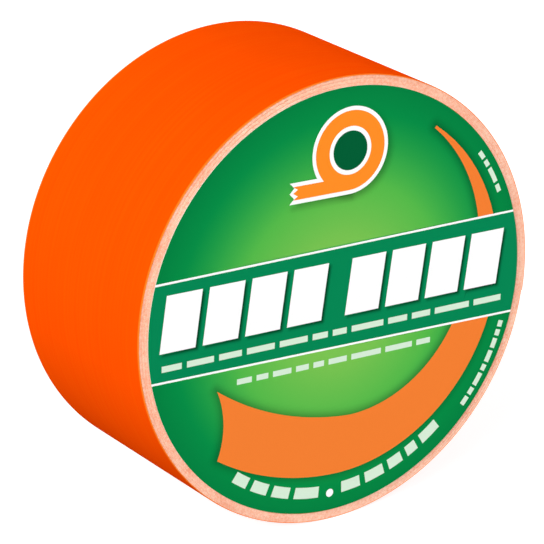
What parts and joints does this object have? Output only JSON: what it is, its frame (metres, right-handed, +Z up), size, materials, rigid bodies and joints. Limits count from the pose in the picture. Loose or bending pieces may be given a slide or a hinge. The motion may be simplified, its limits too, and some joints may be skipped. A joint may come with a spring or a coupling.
{
  "type": "duct tape roll",
  "caption": "Roll of orange cloth-backed adhesive tape on a paperboard core, with a green printed paper disc over one end and a free end that peels.",
  "frame": {"origin": "centre of the core's bore, at the middle of the tape's width", "axes": "+Z up with the roll standing on its tread, +Y along the core's axis towards the open end, the label faces -Y"},
  "size_m": [0.1015, 0.0482, 0.1013],
  "materials": {
    "core_liner": "smooth grey-buff paperboard",
    "core_board": "raw brown paperboard",
    "tape_edge": "matt, cut edge of many thin layers",
    "tape_film": "satin polyethylene film over a fine weave",
    "tape_scrim": "fine open cotton weave",
    "tape_adhesive": "tacky, slightly shiny",
    "label_print": "coated print, satin",
    "label_glue": "dried glue, matt"
  },
  "bodies": {
    "roll": {"core_inner_ply": "core_liner", "core_ply_2": "core_board", "core_ply_3": "core_board", "core_ply_4": "core_board", "core_ply_5": "core_board", "core_outer_ply": "core_board", "wound_web": "tape_edge", "last_turn_film": "tape_film", "last_turn_scrim": "tape_scrim", "last_turn_adhesive": "tape_adhesive"},
    "tail_1": {"tail_film_1": "tape_film", "tail_scrim_1": "tape_scrim", "tail_adhesive_1": "tape_adhesive"},
    "tail_2": {"tail_film_2": "tape_film", "tail_scrim_2": "tape_scrim", "tail_adhesive_2": "tape_adhesive"},
    "tail_3": {"tail_film_3": "tape_film", "tail_scrim_3": "tape_scrim", "tail_adhesive_3": "tape_adhesive"},
    "tail_4": {"tail_film_4": "tape_film", "tail_scrim_4": "tape_scrim", "tail_adhesive_4": "tape_adhesive"},
    "tail_5": {"tail_film_5": "tape_film", "tail_scrim_5": "tape_scrim", "tail_adhesive_5": "tape_adhesive"},
    "label": {"label_paper": "label_print", "label_glue": "label_glue"}
  },
  "joints": [
    {"name": "tail_peel", "type": "hinge", "parent": "roll", "child": "tail_1", "pos_m": [0.03197, 0, 0.03948], "axis": [0, -1, 0], "range_deg": [0, 90]},
    {"name": "tail_flex_2", "type": "hinge", "parent": "tail_1", "child": "tail_2", "pos_m": [0.03949, 0, 0.03197], "axis": [0, -1, 0], "range_deg": [0, 10]},
    {"name": "tail_flex_3", "type": "hinge", "parent": "tail_2", "child": "tail_3", "pos_m": [0.04528, 0, 0.02307], "axis": [0, -1, 0], "range_deg": [0, 10]},
    {"name": "tail_flex_4", "type": "hinge", "parent": "tail_3", "child": "tail_4", "pos_m": [0.04909, 0, 0.01315], "axis": [0, -1, 0], "range_deg": [0, 10]},
    {"name": "tail_flex_5", "type": "hinge", "parent": "tail_4", "child": "tail_5", "pos_m": [0.05076, 0, 0.00266], "axis": [0, -1, 0], "range_deg": [0, 10]},
    {"name": "label_lift", "type": "slide", "parent": "roll", "child": "label", "axis": [0, -1, 0], "range_m": [0, 0.06]}
  ],
  "couplings": [
    {"joint": "tail_flex_2", "follows": "tail_peel", "ratio": 0.11},
    {"joint": "tail_flex_3", "follows": "tail_peel", "ratio": 0.11},
    {"joint": "tail_flex_4", "follows": "tail_peel", "ratio": 0.11},
    {"joint": "tail_flex_5", "follows": "tail_peel", "ratio": 0.11}
  ]
}
